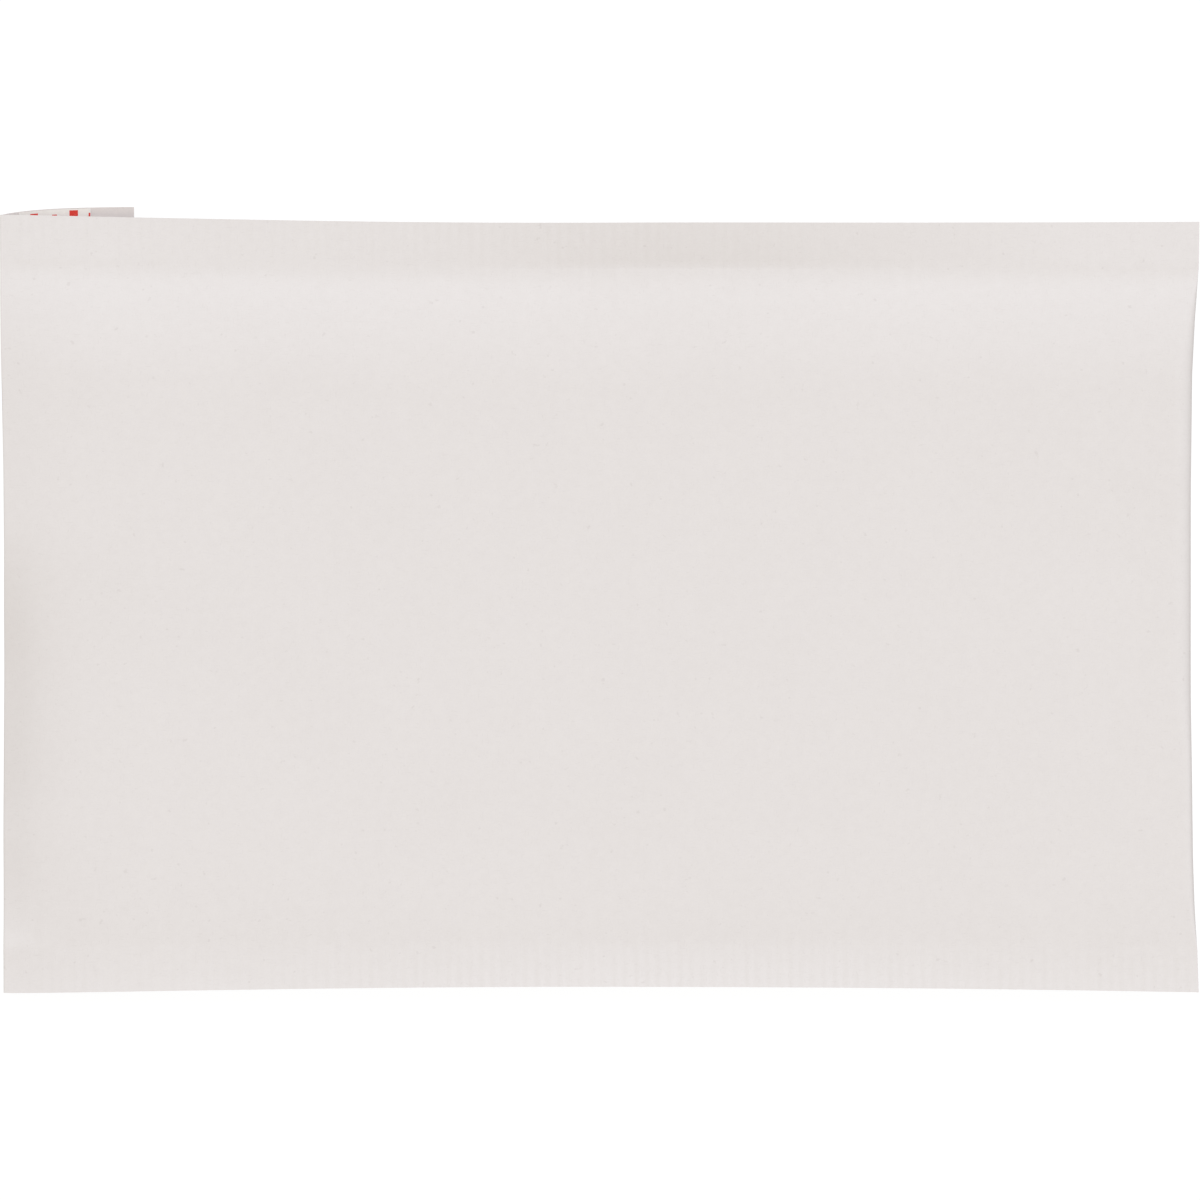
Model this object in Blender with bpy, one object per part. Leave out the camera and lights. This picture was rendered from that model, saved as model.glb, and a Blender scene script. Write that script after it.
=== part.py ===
"""Padded mailing envelope, unused and empty, lying on its back with its flap folded under the mouth.

X runs along the mailer from the folded mouth to the closed end, Y across it from the near seam to
the far seam, and Z up from the table. Sizes are in metres.
"""
import math
from collections import namedtuple

import bmesh
import bpy
import numpy as np

# Outline, seen from above
BODY_LENGTH = 0.4064
MOUTH_WIDTH = 0.2640
WAIST_WIDTH = 0.2588
CLOSED_WIDTH = 0.2610
MOUTH_SHIFT = 0.00045
CLOSED_SHIFT = 0.00075
FAR_SEAM = 0.0165
NEAR_SEAM = 0.0140
END_PULL = 0.0030
MOUTH_PULL = 0.0007
MOUTH_SKEW = 0.0009

# Sheets and padding
PAPER = 0.0003
LINING = 0.0046
POCKET_GAP = 0.0008
CLEARANCE = 0.0003

# Pillow form: the far seam hangs below the front panel, and the near seam stands almost level with it
FAR_SEAM_HEIGHT = 0.0057
NEAR_SEAM_HEIGHT = 0.0105
FAR_SLOPE = 0.045
NEAR_SLOPE = 0.034
SLOPE_STRETCH = 3.0
SLOPE_POWER = 1.4
END_ROUND = 0.0047
MOUTH_DROP = 0.0070
MOUTH_DECAY = 0.0150
SEAM_DECAY = 0.030
FAR_MOUTH_EASE = 0.63
EASE_START = 0.53
EASE_RUN = 0.20

# Curl of the seams' outer edges: a rise all along, and a bulge that is highest past mid-length
FAR_RISE = -0.0003
FAR_BULGE = 0.0030
FAR_BULGE_CENTRE = 0.032
FAR_BULGE_REACH = 0.070
NEAR_RISE = 0.0002
NEAR_BULGE = 0.0009
NEAR_BULGE_CENTRE = 0.030
NEAR_BULGE_REACH = 0.100

# Crimped ribs across both seams
RIB_PITCH = 0.00373
RIB_HEIGHT = 0.0002

# Shallow hollows that handling left in the front panel: centre x and y, reach in x and y, depth
HOLLOWS = (
    (-0.156, -0.020, 0.030, 0.028, 0.0004),
    (0.172, 0.018, 0.030, 0.026, 0.0004),
    (-0.045, -0.085, 0.060, 0.020, 0.0003),
)

# Flap, with its adhesive and release liner
FLAP_LENGTH = 0.0449
FLAP_SLIDE = 0.00255
FLAP_SLIDE_RUN = 0.014
LIP_BACK = 0.0018
FLAP_ROOM = 0.002
LIFT_RUN = 0.022
FILM = 0.0002
FILM_GAP = 0.0001
LINER_START = 0.0058
LINER_WIDTH = 0.0244
LINER_INSET = 0.0003
ADHESIVE_WIDTH = 0.019
ADHESIVE_INSET = 0.003

# Lining edges
LINING_BACK = 0.001
POCKET_ROW = 2

# Fineness of the faceted surfaces
SLOPE_STEPS = 6
ROW_CROWDING = 1.5
PANEL_STEPS = 7
MOUTH_STEPS = 10
BODY_STEPS = 11
FOLD_STEPS = 8
FLAP_STEPS = 4
MERGE = 1e-6

LIFT = PAPER + 2 * (FILM_GAP + FILM) + CLEARANCE
LIFT_START = FLAP_LENGTH + FLAP_ROOM
OVERHANG = FLAP_SLIDE * (1.0 - math.exp(-FLAP_LENGTH / FLAP_SLIDE_RUN))
HALF_LENGTH = BODY_LENGTH / 2
THICKNESS = 2 * (PAPER + CLEARANCE + LINING) + POCKET_GAP
MOUTH_RADIUS = (THICKNESS - MOUTH_DROP * (1.0 - FAR_MOUTH_EASE)) / 2

# One line of points along the mailer. Its y is the near seam's inner edge at share 0 and the far
# seam's at share 1, moved by offset, and full says how much of the padding's height it has.
Row = namedtuple("Row", "share offset full")


def smooth(value):
    """Ease from 0 to 1 with level ends."""
    clipped = np.clip(value, 0.0, 1.0)
    return clipped * clipped * (3.0 - 2.0 * clipped)


def half_width(x):
    """Half of the width at x: the padding draws the long edges in towards the waist."""
    place = x / HALF_LENGTH
    end_width = CLOSED_WIDTH if x > 0 else MOUTH_WIDTH
    return (WAIST_WIDTH + (end_width - WAIST_WIDTH) * place * place) / 2


def centre_y(x):
    """Y of the middle between the long edges, which run slightly askew. The model is centred at the
    mouth, where its flap hangs over the far edge."""
    place = x / HALF_LENGTH
    shift = -CLOSED_SHIFT * place ** 2 if x > 0 else MOUTH_SHIFT * place ** 4
    return shift - MOUTH_SHIFT - OVERHANG / 2


def row_y(row, x):
    """Y of a row at x."""
    edge = half_width(x)
    near = -edge + NEAR_SEAM
    far = edge - FAR_SEAM
    return near + (far - near) * row.share + row.offset + centre_y(x)


def off_centre(row):
    """Where a row lies at mid-length: -1 at the near edge, 0 at the middle and 1 at the far edge."""
    return (row_y(row, 0.0) - centre_y(0.0)) / half_width(0.0)


def fullness(inset, slope):
    """Height of the padding, 0 to 1, at a distance inside a seam: steep at first, then easing out."""
    reached = 1.0 - math.exp(-(SLOPE_STRETCH * min(inset / slope, 1.0)) ** SLOPE_POWER)
    return reached / (1.0 - math.exp(-SLOPE_STRETCH ** SLOPE_POWER))


def make_rows():
    """Rows from the near edge to the far edge, closer together on the slopes beside the seams."""
    steps = [(step / SLOPE_STEPS) ** ROW_CROWDING for step in range(SLOPE_STEPS + 1)]
    rows = [Row(0.0, -NEAR_SEAM, 0.0)]
    rows += [Row(0.0, step * NEAR_SLOPE, fullness(step * NEAR_SLOPE, NEAR_SLOPE)) for step in steps]
    for step in range(1, PANEL_STEPS):
        share = step / PANEL_STEPS
        rows.append(Row(share, (1.0 - share) * NEAR_SLOPE - share * FAR_SLOPE, 1.0))
    rows += [Row(1.0, -step * FAR_SLOPE, fullness(step * FAR_SLOPE, FAR_SLOPE)) for step in reversed(steps)]
    rows.append(Row(1.0, FAR_SEAM, 0.0))
    return rows


def end_pull(row):
    """How much of an end's pull a row has: none in the seams, and most at mid-width."""
    return row.full * (1.0 - abs(off_centre(row)) ** 3)


def left_x(row):
    """X of the mouth fold's outermost line."""
    near_share = (1.0 - off_centre(row)) / 2
    return -HALF_LENGTH + MOUTH_SKEW * near_share + MOUTH_PULL * end_pull(row)


def lip_x(row):
    """X of the back panel's free edge, which is the mouth's edge."""
    return left_x(row) + MOUTH_RADIUS + LIP_BACK


def end_round(row):
    """Length of the closed end's rounding."""
    return PAPER + END_ROUND * row.full


def end_x(row):
    """X where the closed end's rounding starts."""
    return HALF_LENGTH - END_PULL * end_pull(row) - end_round(row)


def lift(x):
    """Height of the back panel's outside: it lies on the flap at the mouth and on the table beyond."""
    return LIFT * (1.0 - smooth((x + HALF_LENGTH - LIFT_START) / LIFT_RUN))


def crown(row, x):
    """Height of the front panel's outside over the padding, which is pressed thinner at the mouth,
    less so in the far half."""
    ease = 1.0 - FAR_MOUTH_EASE * smooth((row.share - EASE_START) / EASE_RUN)
    distance = max(x - lip_x(row), 0.0)
    return THICKNESS - MOUTH_DROP * ease * math.exp(-distance / MOUTH_DECAY)


def bulge(x, centre, reach):
    """Share of a curl's bulge at x, 1 at its centre."""
    return math.exp(-((x - centre) / reach) ** 2)


def seam_middle(row, x):
    """Height of the plane between the two sheets in a seam, which curls up at its outer edge."""
    full_height = NEAR_SEAM_HEIGHT + (FAR_SEAM_HEIGHT - NEAR_SEAM_HEIGHT) * row.share
    distance = max(x - lip_x(row), 0.0)
    height = full_height + (MOUTH_RADIUS - full_height) * math.exp(-distance / SEAM_DECAY)
    if row.offset == FAR_SEAM:
        height += FAR_RISE + FAR_BULGE * bulge(x, FAR_BULGE_CENTRE, FAR_BULGE_REACH)
    if row.offset == -NEAR_SEAM:
        height += NEAR_RISE + NEAR_BULGE * bulge(x, NEAR_BULGE_CENTRE, NEAR_BULGE_REACH)
    return height


def hollow_depth(x, y):
    """Depth of the handling hollows at a point of the front panel."""
    depth = 0.0
    for centre_x, centre_y, reach_x, reach_y, deepest in HOLLOWS:
        away = ((x - centre_x) / reach_x) ** 2 + ((y - centre_y) / reach_y) ** 2
        depth += deepest * math.exp(-away)
    return depth


def upper_z(row, x):
    """Height of the front panel's outside."""
    over_padding = crown(row, x) - hollow_depth(x, row_y(row, x))
    return (1.0 - row.full) * (seam_middle(row, x) + PAPER) + row.full * over_padding


def lower_z(row, x):
    """Height of the back panel's outside."""
    return (1.0 - row.full) * (seam_middle(row, x) - PAPER) + row.full * lift(x)


def stations(start, end):
    """Places along a panel, closer together where it tapers towards the mouth."""
    taper_end = -HALF_LENGTH + LIFT_START + LIFT_RUN
    taper = np.linspace(start, taper_end, MOUTH_STEPS + 1)
    body = np.linspace(taper_end, end, BODY_STEPS + 1)
    return [*taper, *body[1:]]


def bag_line(row, start, depth):
    """Points of a bag's surface, from the mouth along the front, round the closed end and back."""
    end = end_x(row)
    places = stations(start, end)
    front = [(x, row_y(row, x), upper_z(row, x) - depth) for x in places]
    back = [(x, row_y(row, x), lower_z(row, x) + depth) for x in reversed(places)]
    middle = (upper_z(row, end) + lower_z(row, end)) / 2
    rise = upper_z(row, end) - depth - middle
    reach = end_round(row) - depth
    fold = []
    for step in range(1, FOLD_STEPS):
        angle = math.pi * (0.5 - step / FOLD_STEPS)
        fold.append((end + reach * math.cos(angle), row_y(row, end), middle + rise * math.sin(angle)))
    return front + fold + back


def flap_line(row, depth):
    """Points of the flap and the mouth fold, from the flap's free edge up to the front panel."""
    radius = upper_z(row, lip_x(row)) / 2
    centre = left_x(row) + radius
    edge_y = row_y(row, -HALF_LENGTH)
    flap_end = left_x(row) + FLAP_LENGTH
    line = []
    for x in np.linspace(flap_end, centre, FLAP_STEPS + 1):
        line.append((x, edge_y + flap_slide(x - left_x(row)), depth))
    for step in range(1, FOLD_STEPS):
        turn = step / FOLD_STEPS
        angle = math.pi * (turn - 0.5)
        x = centre - (radius - depth) * math.cos(angle)
        slide = flap_slide(centre - left_x(row)) * (1.0 - turn)
        line.append((x, edge_y + slide, radius + (radius - depth) * math.sin(angle)))
    line.append((centre, row_y(row, centre), 2 * radius - depth))
    return line


def flap_slide(distance):
    """How far the flap has slid sideways, at a distance from the fold: it was folded out of square."""
    return FLAP_SLIDE * (1.0 - math.exp(-distance / FLAP_SLIDE_RUN))


def rib_places():
    """X of each crest and each trough of the crimp."""
    seam_row = Row(1.0, FAR_SEAM, 0.0)
    first = -HALF_LENGTH + MOUTH_SKEW + MOUTH_RADIUS + LIP_BACK + RIB_PITCH / 2
    count = int((end_x(seam_row) - RIB_PITCH / 2 - first) / (RIB_PITCH / 2))
    return [first + step * RIB_PITCH / 2 for step in range(count + 1)]


class Skin:
    """Collects the points and faces of one closed body."""

    def __init__(self):
        self.points = []
        self.faces = []

    def add(self, line):
        """Add a line of points and return their numbers."""
        first = len(self.points)
        self.points += line
        return list(range(first, len(self.points)))

    def strip(self, one, other):
        """Faces between two lines of the same length."""
        self.faces += zip(one, one[1:], other[1:], other)

    def lace(self, one, other):
        """Triangles between two lines of unlike length that run the same way along X."""
        a = 0
        b = 0
        while a + 1 < len(one) or b + 1 < len(other):
            step_a = b + 1 == len(other)
            if a + 1 < len(one) and not step_a:
                step_a = self.points[one[a + 1]][0] <= self.points[other[b + 1]][0]
            if step_a:
                self.faces.append((one[a], one[a + 1], other[b]))
                a += 1
            else:
                self.faces.append((one[a], other[b + 1], other[b]))
                b += 1

    def cap(self, line):
        """Close the side of a fold, given its points from the front round to the back."""
        half = len(line) // 2
        self.strip(line[:half], line[::-1][:half])
        self.faces.append(tuple(line[half - 1:half + 2]))

    def build(self, name, material):
        """Make the object: merge the points where two surfaces meet and face everything outwards."""
        mesh = bpy.data.meshes.new(name)
        body = bmesh.new()
        for point in self.points:
            body.verts.new(point)
        body.verts.ensure_lookup_table()
        for face in self.faces:
            body.faces.new([body.verts[number] for number in face])
        bmesh.ops.remove_doubles(body, verts=body.verts, dist=MERGE)
        unused = [vertex for vertex in body.verts if not vertex.link_faces]
        bmesh.ops.delete(body, geom=unused, context="VERTS")
        bmesh.ops.recalc_face_normals(body, faces=body.faces)
        body.to_mesh(mesh)
        body.free()
        mesh.materials.append(material)
        mesh.shade_smooth()
        mesh.set_sharp_from_angle(angle=math.radians(40))
        piece = bpy.data.objects.new(name, mesh)
        bpy.context.collection.objects.link(piece)
        return piece


def paper_material(name, colour, roughness):
    """Principled material in a linear colour."""
    material = bpy.data.materials.new(name)
    material.use_nodes = True
    shader = material.node_tree.nodes["Principled BSDF"]
    shader.inputs["Base Color"].default_value = (*colour, 1.0)
    shader.inputs["Roughness"].default_value = roughness
    shader.inputs["Metallic"].default_value = 0.0
    return material


def ribbed(skin, row, surface, first, last):
    """A seam's line of crests and troughs, between its two end points."""
    points = []
    for number, x in enumerate(rib_places()):
        relief = RIB_HEIGHT / 2 * (-1) ** number
        points.append((x, row_y(row, x), surface(row, x) + relief))
    return [first] + skin.add(points) + [last]


def paper_wrapper(rows):
    """One folded sheet: flap, mouth fold, front, closed end and back, pressed together in both seams."""
    skin = Skin()
    outside = []
    inside = []
    for row in rows:
        outside.append(skin.add(flap_line(row, 0.0) + bag_line(row, lip_x(row), 0.0)))
        inside.append(skin.add(flap_line(row, PAPER) + bag_line(row, lip_x(row), PAPER)))

    panel = MOUTH_STEPS + BODY_STEPS
    lip = len(flap_line(rows[0], 0.0))
    front_end = lip + panel
    back_start = front_end + FOLD_STEPS
    free = slice(0, lip + 1)
    front = slice(lip, front_end + 1)
    fold = slice(front_end, back_start + 1)

    last = len(rows) - 1
    ribs = {}
    for number in (0, 1, last - 1, last):
        line = outside[number]
        upper = ribbed(skin, rows[number], upper_z, line[lip], line[front_end])
        lower = ribbed(skin, rows[number], lower_z, line[-1], line[back_start])
        ribs[number] = (upper, lower)

    for one in range(last):
        other = one + 1
        skin.strip(outside[one][free], outside[other][free])
        skin.strip(outside[one][fold], outside[other][fold])
        if one in (0, last - 1):
            skin.strip(ribs[one][0], ribs[other][0])
            skin.strip(ribs[one][1], ribs[other][1])
            skin.strip(inside[one][free], inside[other][free])
            skin.strip([inside[one][lip], outside[one][-1]], [inside[other][lip], outside[other][-1]])
            continue
        front_lines = [outside[one][front], outside[other][front]]
        back_lines = [outside[one][:back_start - 1:-1], outside[other][:back_start - 1:-1]]
        if one == 1:
            front_lines[0], back_lines[0] = ribs[one]
        if other == last - 1:
            front_lines[1], back_lines[1] = ribs[other]
        skin.lace(*front_lines)
        skin.lace(*back_lines)
        skin.strip(inside[one], inside[other])
        skin.strip([inside[one][-1], outside[one][-1]], [inside[other][-1], outside[other][-1]])

    skin.strip([line[0] for line in outside], [line[0] for line in inside])
    for number in (0, last):
        upper, lower = ribs[number]
        skin.strip(outside[number][free], inside[number][free])
        skin.faces.append((upper[0], upper[1], lower[1], lower[0], inside[number][lip]))
        skin.strip(upper[1:], lower[1:])
        skin.cap(outside[number][fold])
    return skin.build("paper_wrapper", paper_material("paper", (0.79, 0.75, 0.73), 0.75))


def pocket_line(row, start, gap):
    """Points of the pocket's upper or lower wall, which meet at the pocket's closed end."""
    end = HALF_LENGTH - END_PULL * end_pull(row) - end_round(row) - PAPER
    places = stations(start, end)
    line = []
    for x in places:
        half_gap = gap if x < places[-1] else 0.0
        line.append((x, row_y(row, x), (upper_z(row, x) + lower_z(row, x)) / 2 + half_gap))
    return line


def bubble_lining(rows):
    """One padded web folded in a U and sealed along its sides, open at the mouth."""
    skin = Skin()
    depth = PAPER + CLEARANCE
    inner_rows = rows[2:-2]
    last = len(inner_rows) - 1
    outside = [skin.add(bag_line(row, lip_x(row) + LINING_BACK, depth)) for row in inner_rows]
    panel = MOUTH_STEPS + BODY_STEPS
    fold = slice(panel, panel + FOLD_STEPS + 1)

    pocket = {}
    for number in range(POCKET_ROW, last - POCKET_ROW + 1):
        row = inner_rows[number]
        edge = number in (POCKET_ROW, last - POCKET_ROW)
        gap = 0.0 if edge else POCKET_GAP / 2
        start = lip_x(row) + LINING_BACK
        pocket[number] = (skin.add(pocket_line(row, start, gap)), skin.add(pocket_line(row, start, -gap)))

    for one in range(last):
        other = one + 1
        skin.strip(outside[one], outside[other])
        if one in pocket and other in pocket:
            for wall, end in ((0, 0), (1, -1)):
                skin.strip(pocket[one][wall], pocket[other][wall])
                skin.strip(
                    [outside[one][end], pocket[one][wall][0]],
                    [outside[other][end], pocket[other][wall][0]],
                )
            continue
        corners = [outside[one][0], outside[other][0], outside[other][-1], outside[one][-1]]
        if other in pocket:
            corners.insert(2, pocket[other][0][0])
        if one in pocket:
            corners.append(pocket[one][0][0])
        skin.faces.append(tuple(corners))

    for line in (outside[0], outside[-1]):
        skin.strip(line[:panel + 1], line[:panel + FOLD_STEPS - 1:-1])
        skin.cap(line[fold])
    return skin.build("bubble_lining", paper_material("bubble_film", (0.80, 0.82, 0.83), 0.35))


def flap_strip(name, start, width, inset, level, material):
    """A flat strip across the flap, following its slanted side edges."""
    skin = Skin()
    near_row, far_row = make_rows()[0], make_rows()[-1]
    loops = []
    for z in (level, level + FILM):
        loop = []
        for row, side in ((near_row, 1), (far_row, -1)):
            ends = [left_x(row) + start, left_x(row) + start + width]
            if side < 0:
                ends.reverse()
            for x in ends:
                y = row_y(row, -HALF_LENGTH) + flap_slide(x - left_x(row)) + side * inset
                loop.append((x, y, z))
        loops.append(skin.add(loop))
    low, high = loops
    skin.faces += [tuple(low), tuple(high)]
    skin.strip(low + low[:1], high + high[:1])
    return skin.build(name, material)


def main():
    """Clear the scene and build the mailer's four pieces."""
    for item in list(bpy.data.objects):
        bpy.data.objects.remove(item)
    rows = make_rows()
    paper_wrapper(rows)
    bubble_lining(rows)
    level = PAPER + FILM_GAP
    middle = LINER_START + (LINER_WIDTH - ADHESIVE_WIDTH) / 2
    glue = paper_material("adhesive", (0.78, 0.72, 0.58), 0.3)
    flap_strip("adhesive_strip", middle, ADHESIVE_WIDTH, ADHESIVE_INSET, level, glue)
    liner = paper_material("liner_paper", (0.77, 0.74, 0.72), 0.4)
    flap_strip("release_liner", LINER_START, LINER_WIDTH, LINER_INSET, level + FILM + FILM_GAP, liner)


main()
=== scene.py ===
"""Looks for the padded mailing envelope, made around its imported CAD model.

X runs along the mailer from the folded mouth to the closed end, Y across it from the near seam to
the far seam, and Z up from the table. Sizes are in metres, in the CAD model's own frame.
"""
import math

import bmesh
import bpy
import numpy as np
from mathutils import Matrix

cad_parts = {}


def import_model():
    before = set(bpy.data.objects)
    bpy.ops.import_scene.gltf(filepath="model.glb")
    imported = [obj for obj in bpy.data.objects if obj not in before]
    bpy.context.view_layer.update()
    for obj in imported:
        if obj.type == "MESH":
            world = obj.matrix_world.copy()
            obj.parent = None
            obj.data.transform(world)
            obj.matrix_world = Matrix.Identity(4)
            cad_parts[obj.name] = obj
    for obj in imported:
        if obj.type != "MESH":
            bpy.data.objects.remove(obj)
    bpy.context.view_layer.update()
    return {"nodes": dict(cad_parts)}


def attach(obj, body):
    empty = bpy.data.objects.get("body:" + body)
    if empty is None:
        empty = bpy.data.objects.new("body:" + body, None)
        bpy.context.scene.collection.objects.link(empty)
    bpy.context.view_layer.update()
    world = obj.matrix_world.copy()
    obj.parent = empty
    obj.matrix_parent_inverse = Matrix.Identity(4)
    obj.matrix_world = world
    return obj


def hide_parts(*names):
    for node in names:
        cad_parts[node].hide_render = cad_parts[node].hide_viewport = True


# Outline, the CAD model's drawn a little closer to the photograph
HALF_LENGTH = 0.2032
MOUTH_WIDTH = 0.2640
WAIST_WIDTH = 0.2584
CLOSED_WIDTH = 0.2609
MOUTH_FLARE = 1.25
MOUTH_SHIFT = 0.0003
CLOSED_SHIFT = 0.0007
FAR_SEAM = 0.0149
NEAR_SEAM = 0.0140
BETWEEN_SEAMS = WAIST_WIDTH - NEAR_SEAM - FAR_SEAM
MOUTH_SKEW = 0.0009
CENTRE_Y = -0.00152

# How far both ends are drawn in, in mm, at shares of the width from the far edge to the near edge
MOUTH_EDGE = ((0.0, -0.40), (0.10, -0.05), (0.20, 0.50), (0.32, 1.20), (0.43, 1.47), (0.52, 1.11),
              (0.75, 0.75), (1.0, 1.22))
CLOSED_EDGE = ((0.0, 0.0), (0.06, 0.30), (0.13, 1.65), (0.20, 2.55), (0.35, 3.0), (0.62, 3.05),
               (0.82, 2.40), (0.89, 1.9), (0.95, 1.15), (1.0, 0.75))

# Sheets and padding
PAPER = 0.0003
THICKNESS = 0.0112
LIFT = 0.0012
SEAM_GROOVE = 0.00025

# Slopes beside the seams. Each starts level, is steepest soon after, and levels out over the last
# 1 / SLOPE_LEVELLING of its width.
FAR_SEAM_HEIGHT = 0.0057
NEAR_SEAM_HEIGHT = 0.0105
FAR_SLOPE = 0.045
NEAR_SLOPE = 0.034
PANEL_WIDTH = BETWEEN_SEAMS - NEAR_SLOPE - FAR_SLOPE
FAR_SLOPE_START = 0.0098
FAR_SLOPE_DECAY = 0.0205
NEAR_SLOPE_START = 0.0040
NEAR_SLOPE_DECAY = 0.0120
SLOPE_LEVELLING = 2.5

# Rounding of the closed end. In the near part it is tighter, by END_EASE, and squarer, by a lower
# power.
END_ROUND = 0.0066
END_EASE = 0.44
END_EASE_START = 0.58
END_EASE_RUN = 0.14
END_POWER = 0.85
END_NEAR_POWER = 0.6

# Heights by the mouth. The front panel is lower there, but less so towards both seams.
MOUTH_DROP = 0.0065
MOUTH_DECAY = 0.0136
SEAM_DECAY = 0.024
MOUTH_SEAM_HEIGHT = 0.0072
FAR_MOUTH_EASE = 0.67
EASE_START = 0.36
EASE_RUN = 0.36
NEAR_MOUTH_EASE = 0.2
NEAR_EASE_RUN = 0.15

# Curl of the seams' outer edges: a bulge's centre, reach and height, and a droop at the ends.
# The whole far seam also rises a little, by FAR_RISE.
FAR_BULGE = (0.032, 0.070, 0.0035)
FAR_BULGE_EASE = 0.215
FAR_RISE = (0.030, 0.054, 0.0016)
NEAR_BULGE = (0.030, 0.100, 0.0011)
NEAR_BULGE_POWER = 1.25
FAR_DROOP = 0.0011
DROOP_START = 0.125
DROOP_RUN = 0.050
NEAR_LIP = 0.00055
NEAR_LIP_POWER = 3.2

# Crimped ribs across both seams, stronger at the outer edges and around mid-length. The ends'
# shares of the strength are given for the mouth and the closed end. Each rib draws its strength
# and its fading length from a range.
RIB_PITCH = 0.00373
RIB_HEIGHT = 0.00014
RIB_STRENGTHS = (0.45, 1.3)
RIB_NEAR_GAIN = 1.7
RIB_INNER = 0.28
RIB_FAR_ENDS = (0.50, 0.38)
RIB_NEAR_ENDS = (0.30, 0.80)
RIB_CENTRE = -0.006
RIB_REACH = 0.080
RIB_FADE = (0.0012, 0.0048)
RIB_SPARES = 3
RIB_SEED = 7

# Unevenness of the front panel. A wave has its radians per metre along x and y, and its phase. Broad
# waves are products of two, each product with its strength. The small ones are bent by the broad.
BROAD_WAVES = (
    (1.0, (47, 19, 0.6), (11, -71, 1.9)),
    (0.7, (83, -37, 2.7), (29, 97, 0.4)),
)
BROAD_HEIGHT = 0.00004
SMALL_BENT_WAVE = (310, 120)
SMALL_PLAIN_WAVE = (150, -270, 1.1)
SMALL_BEND = 5.0
SMALL_HEIGHT = 0.000012

# Wrinkles on the slopes, deepest at WRINKLE_INSET inside the seams. Their waves run along the
# mailer, in radians per metre, and the far side's differ from the near side's by a phase.
WRINKLE_HEIGHT = 0.00003
WRINKLE_INSET = 0.006
WRINKLE_REACH = 0.012
WRINKLE_REACH_CHANGE = 0.007
WRINKLE_REACH_WAVE = 61
WRINKLE_REACH_PHASE = 3.0
WRINKLE_COARSE_WAVE = 640
WRINKLE_SIDE_PHASE = 2.1
WRINKLE_BEND_WAVE = 57
WRINKLE_BEND = 2.0
WRINKLE_FINE_WAVE = 1130
WRINKLE_FINE_PHASE = 1.3
WRINKLE_FINE_SHARE = 0.6

# Shallow hollows in the front panel: centre x and y, reach in x and y, depth
HOLLOWS = (
    (-0.156, -0.020, 0.030, 0.028, 0.0004),
    (0.172, 0.018, 0.030, 0.026, 0.0004),
    (-0.045, -0.085, 0.060, 0.020, 0.0003),
)

# Soft creases in the front panel: start x and y, end x and y, half width, height. They fade out
# over the first and the last 1 / CREASE_FADING of their length.
CREASES = (
    (0.146, 0.027, 0.192, 0.005, 0.0035, -0.00012),
    (0.172, -0.001, 0.196, 0.000, 0.0020, 0.00008),
    (-0.070, 0.034, -0.052, 0.046, 0.0030, -0.00005),
    (0.010, -0.040, 0.044, -0.030, 0.0040, -0.00005),
)
CREASE_FADING = 4.0

# Mouth fold, from the table up: a turn, which ends at TURN_SHARE of the crease's height, then a
# wall, a sharp bend and a flat top up to the lip. CREASE_STEPS are the columns of the last three.
MOUTH_RADIUS = 0.0043
TURN_SHARE = 0.46
TURN_REACH = 0.0045
TURN_REACH_SHARE = 0.9
TURN_HANDLE = 0.45
CREASE_RADIUS = 0.0004
CREASE_STEPS = (4, 7, 9)
LIP_BACK = 0.0018
GRADIENT_STEP = 0.0005

# Flap and release liner
FLAP_LENGTH = 0.0449
FLAP_ROOM = 0.002
LIFT_RUN = 0.022
FLAP_SLIDE = 0.0028
FLAP_SLIDE_RUN = 0.013
LINER_START = 0.0058
LINER_WIDTH = 0.0244
LINER_INSET = 0.0003
LINER_LOW = 0.0007
LINER_HIGH = 0.0009
LINER_STEP = 0.0040
LINER_DECIMALS = 5
LINER_RIPPLE = 0.00004
LINER_RIPPLE_WAVE = 900.0

# Generic bars printed on the liner: rows by their start from the fold, width, and start from the
# liner's far end
PRINT_ROWS = (
    (0.0097, 0.0026, 0.0009),
    (0.0171, 0.0017, 0.0017),
    (0.0230, 0.0029, 0.0005),
    (0.0295, 0.0006, 0.0015),
)
PRINT_END = 0.0100

# The bars have BAR_KINDS lengths, as shares of BAR_LENGTH: the shortest and then steps up from it.
# Every next bar is BAR_TURN kinds further on.
BAR_LENGTH = 0.0055
BAR_SHORTEST = 0.6
BAR_STEP = 0.2
BAR_KINDS = 5
BAR_TURN = 7
BAR_GAP = 0.0018

# Bubble lining, which ends WEB_MARGIN rows inside the seams. Alternate rows of bubbles are shifted
# by half a pitch.
CLEARANCE = 0.0003
POCKET_GAP = 0.0008
LINING_BACK = 0.001
FILM = 0.00025
WEB_COLUMNS = 80
WEB_MARGIN = 4
BUBBLE_PITCH = 0.0111
BUBBLE_ROW_SHARE = 0.866
BUBBLE_START = 0.55
BUBBLE_SHIFT = 0.5
BUBBLE_RADIUS = 0.0049
BUBBLE_HEIGHT = 0.0043
BUBBLE_LEAST = 0.0008
BUBBLE_SIDES = 10
BUBBLE_PROFILE = ((1.0, 0.0), (0.96, 0.55), (0.70, 0.92))

# Fineness
PROFILE_STEPS = 400
COARSE_COLUMNS = 200
FINE = 4
SEAM_ROWS = 7
FINE_SLOPE = (0.0008, 0.0018, 0.0030, 0.0044, 0.0060)
ROW_STEP = 0.0022
PANEL_ROW_STEP = 0.0040
FOLD_STEPS = 20
FLAP_STEPS = 24
INNER_EVERY = 4
MERGE = 1e-6
SHARP_ANGLE = math.radians(42)

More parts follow.
